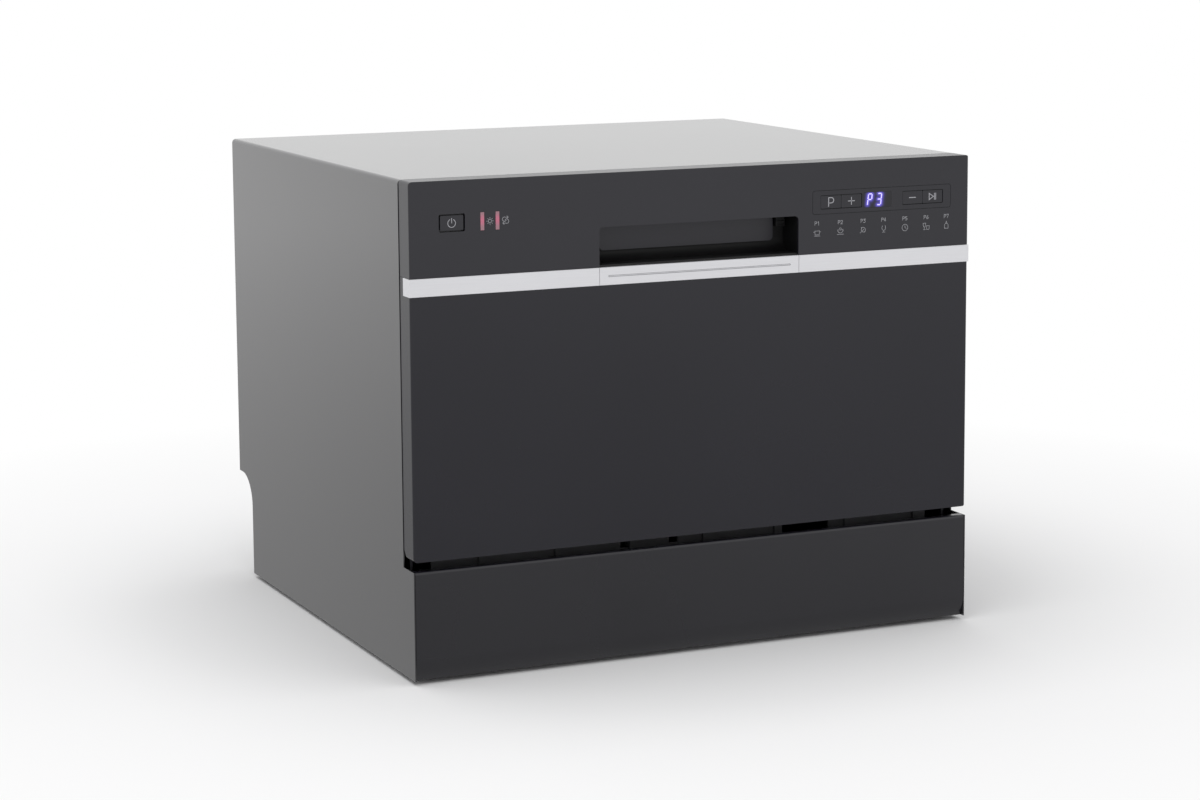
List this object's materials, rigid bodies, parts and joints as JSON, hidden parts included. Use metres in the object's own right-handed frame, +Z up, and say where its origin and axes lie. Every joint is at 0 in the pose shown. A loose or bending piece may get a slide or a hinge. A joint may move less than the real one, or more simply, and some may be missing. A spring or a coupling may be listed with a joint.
{
  "type": "countertop dishwasher",
  "caption": "Compact countertop dishwasher with a drop-down door, pull flap, rolling wire rack, spray arm and push buttons.",
  "frame": {"origin": "on the worktop under the middle of the machine", "axes": "+X to the right seen from the front, +Y to the rear, +Z up"},
  "size_m": [0.55, 0.5, 0.438],
  "materials": {
    "case_paint": "gloss",
    "zinc_sheet": "satin",
    "black_moulding": "matte",
    "rubber_black": "matte",
    "stainless": "satin",
    "white_moulding": "satin",
    "fascia_gloss": "gloss",
    "silver_trim": "satin",
    "display_lens": "gloss",
    "board_green": "matte",
    "wire_coat": "satin",
    "rinse_blue": "gloss"
  },
  "bodies": {
    "case": {"outer_case": "case_paint", "rear_panel": "zinc_sheet", "base_tray": "black_moulding", "front_crossmember": "black_moulding", "kick_plate": "case_paint", "rear_feet": "rubber_black", "tub": "stainless", "tub_gasket": "rubber_black", "tub_runners": "white_moulding", "hinge_brackets": "zinc_sheet", "strike": "zinc_sheet", "sump": "black_moulding", "filter_plate": "stainless", "wash_pump": "black_moulding", "heater": "stainless", "drain_pump": "black_moulding", "softener_tank": "white_moulding", "inlet_valve": "white_moulding", "drain_outlet": "black_moulding", "air_break": "white_moulding", "inner_hoses": "rubber_black", "float_switch": "black_moulding", "cord_gland": "rubber_black"},
    "door": {"door_skin": "case_paint", "door_liner": "stainless", "control_fascia": "fascia_gloss", "control_insert": "fascia_gloss", "trim_sides": "silver_trim", "trim_centre": "silver_trim", "trim_caps": "silver_trim", "handle_cup": "black_moulding", "display_windows": "display_lens", "circuit_board": "board_green", "latch_housing": "black_moulding", "hinge_arms": "zinc_sheet", "dispenser_body": "white_moulding", "lower_seal": "rubber_black", "flap_pin": "zinc_sheet"},
    "flap": {"handle_flap": "fascia_gloss"},
    "hook": {"latch_hook": "zinc_sheet"},
    "power_button": {"button_power": "fascia_gloss"},
    "program_button": {"button_program": "fascia_gloss"},
    "plus_button": {"button_plus": "fascia_gloss"},
    "minus_button": {"button_minus": "fascia_gloss"},
    "start_button": {"button_start": "fascia_gloss"},
    "detergent_lid": {"dispenser_lid": "white_moulding"},
    "rinse_aid_cap": {"rinse_cap": "rinse_blue"},
    "rack": {"rack": "wire_coat"},
    "wheel_fl": {"wheel_front_left": "white_moulding"},
    "wheel_fr": {"wheel_front_right": "white_moulding"},
    "wheel_rl": {"wheel_rear_left": "white_moulding"},
    "wheel_rr": {"wheel_rear_right": "white_moulding"},
    "basket": {"cutlery_basket": "wire_coat"},
    "shelf": {"cup_shelf": "white_moulding"},
    "arm": {"spray_arm": "white_moulding"},
    "filter": {"filter_cup": "black_moulding"},
    "softener_cap": {"salt_cap": "white_moulding"},
    "float": {"leak_float": "white_moulding"},
    "left_foot": {"foot_left": "rubber_black"},
    "right_foot": {"foot_right": "rubber_black"}
  },
  "joints": [
    {"name": "door_hinge", "type": "hinge", "parent": "case", "child": "door", "pos_m": [0, -0.2359, 0.1185], "axis": [1, 0, 0], "range_deg": [0, 90]},
    {"name": "rack_slide", "type": "slide", "parent": "case", "child": "rack", "axis": [0, -1, 0], "range_m": [0, 0.1]},
    {"name": "wheel_roll_fl", "type": "hinge", "parent": "rack", "child": "wheel_fl", "pos_m": [-0.226, -0.089, 0.167], "axis": [1, 0, 0], "range_deg": [0, 445]},
    {"name": "wheel_roll_fr", "type": "hinge", "parent": "rack", "child": "wheel_fr", "pos_m": [0.226, -0.089, 0.167], "axis": [1, 0, 0], "range_deg": [0, 445]},
    {"name": "wheel_roll_rl", "type": "hinge", "parent": "rack", "child": "wheel_rl", "pos_m": [-0.226, 0.116, 0.167], "axis": [1, 0, 0], "range_deg": [0, 445]},
    {"name": "wheel_roll_rr", "type": "hinge", "parent": "rack", "child": "wheel_rr", "pos_m": [0.226, 0.116, 0.167], "axis": [1, 0, 0], "range_deg": [0, 445]},
    {"name": "basket_lift", "type": "slide", "parent": "rack", "child": "basket", "axis": [0, 0, 1], "range_m": [0, 0.09]},
    {"name": "shelf_fold", "type": "hinge", "parent": "rack", "child": "shelf", "pos_m": [-0.209, 0, 0.26], "axis": [0, -1, 0], "range_deg": [0, 85]},
    {"name": "spray_arm_spin", "type": "hinge", "parent": "case", "child": "arm", "pos_m": [0, -0.0092, 0.156], "axis": [0, 0, 1], "continuous": true},
    {"name": "filter_turn", "type": "hinge", "parent": "case", "child": "filter", "pos_m": [0.105, 0.0608, 0.14], "axis": [0, 0, 1], "range_deg": [0, 40]},
    {"name": "softener_cap_turn", "type": "hinge", "parent": "case", "child": "softener_cap", "pos_m": [-0.16, 0.0988, 0.15], "axis": [0, 0, 1], "range_deg": [0, 90]},
    {"name": "float_lift", "type": "slide", "parent": "case", "child": "float", "axis": [0, 0, 1], "range_m": [0, 0.0055]},
    {"name": "left_foot_screw", "type": "slide", "parent": "case", "child": "left_foot", "axis": [0, 0, -1], "range_m": [0, 0.006]},
    {"name": "right_foot_screw", "type": "slide", "parent": "case", "child": "right_foot", "axis": [0, 0, -1], "range_m": [0, 0.006]},
    {"name": "flap_pull", "type": "hinge", "parent": "door", "child": "flap", "pos_m": [0, -0.2234, 0.3955], "axis": [-1, 0, 0], "range_deg": [0, 18], "stiffness_Nm_per_rad": 0.4, "springref_deg": -5.73},
    {"name": "hook_turn", "type": "hinge", "parent": "door", "child": "hook", "pos_m": [0, -0.2425, 0.421], "axis": [1, 0, 0], "range_deg": [0, 24.5]},
    {"name": "power_press", "type": "slide", "parent": "door", "child": "power_button", "axis": [0, 1, 0], "range_m": [0, 0.001], "stiffness_N_per_m": 900, "springref_m": -0.0005},
    {"name": "program_press", "type": "slide", "parent": "door", "child": "program_button", "axis": [0, 1, 0], "range_m": [0, 0.001], "stiffness_N_per_m": 900, "springref_m": -0.0005},
    {"name": "plus_press", "type": "slide", "parent": "door", "child": "plus_button", "axis": [0, 1, 0], "range_m": [0, 0.001], "stiffness_N_per_m": 900, "springref_m": -0.0005},
    {"name": "minus_press", "type": "slide", "parent": "door", "child": "minus_button", "axis": [0, 1, 0], "range_m": [0, 0.001], "stiffness_N_per_m": 900, "springref_m": -0.0005},
    {"name": "start_press", "type": "slide", "parent": "door", "child": "start_button", "axis": [0, 1, 0], "range_m": [0, 0.001], "stiffness_N_per_m": 900, "springref_m": -0.0005},
    {"name": "detergent_lid_slide", "type": "slide", "parent": "door", "child": "detergent_lid", "axis": [1, 0, 0], "range_m": [0, 0.052]},
    {"name": "rinse_aid_cap_turn", "type": "hinge", "parent": "door", "child": "rinse_aid_cap", "pos_m": [-0.006, -0.2025, 0.262], "axis": [0, 1, 0], "range_deg": [0, 90]}
  ],
  "couplings": [
    {"joint": "rack_slide", "follows": "door_hinge", "m_per_rad": 0.063662},
    {"joint": "wheel_roll_fl", "follows": "door_hinge", "ratio": 4.8971},
    {"joint": "wheel_roll_fr", "follows": "door_hinge", "ratio": 4.8971},
    {"joint": "wheel_roll_rl", "follows": "door_hinge", "ratio": 4.8971},
    {"joint": "wheel_roll_rr", "follows": "door_hinge", "ratio": 4.8971},
    {"joint": "hook_turn", "follows": "flap_pull", "ratio": 1.3333}
  ]
}
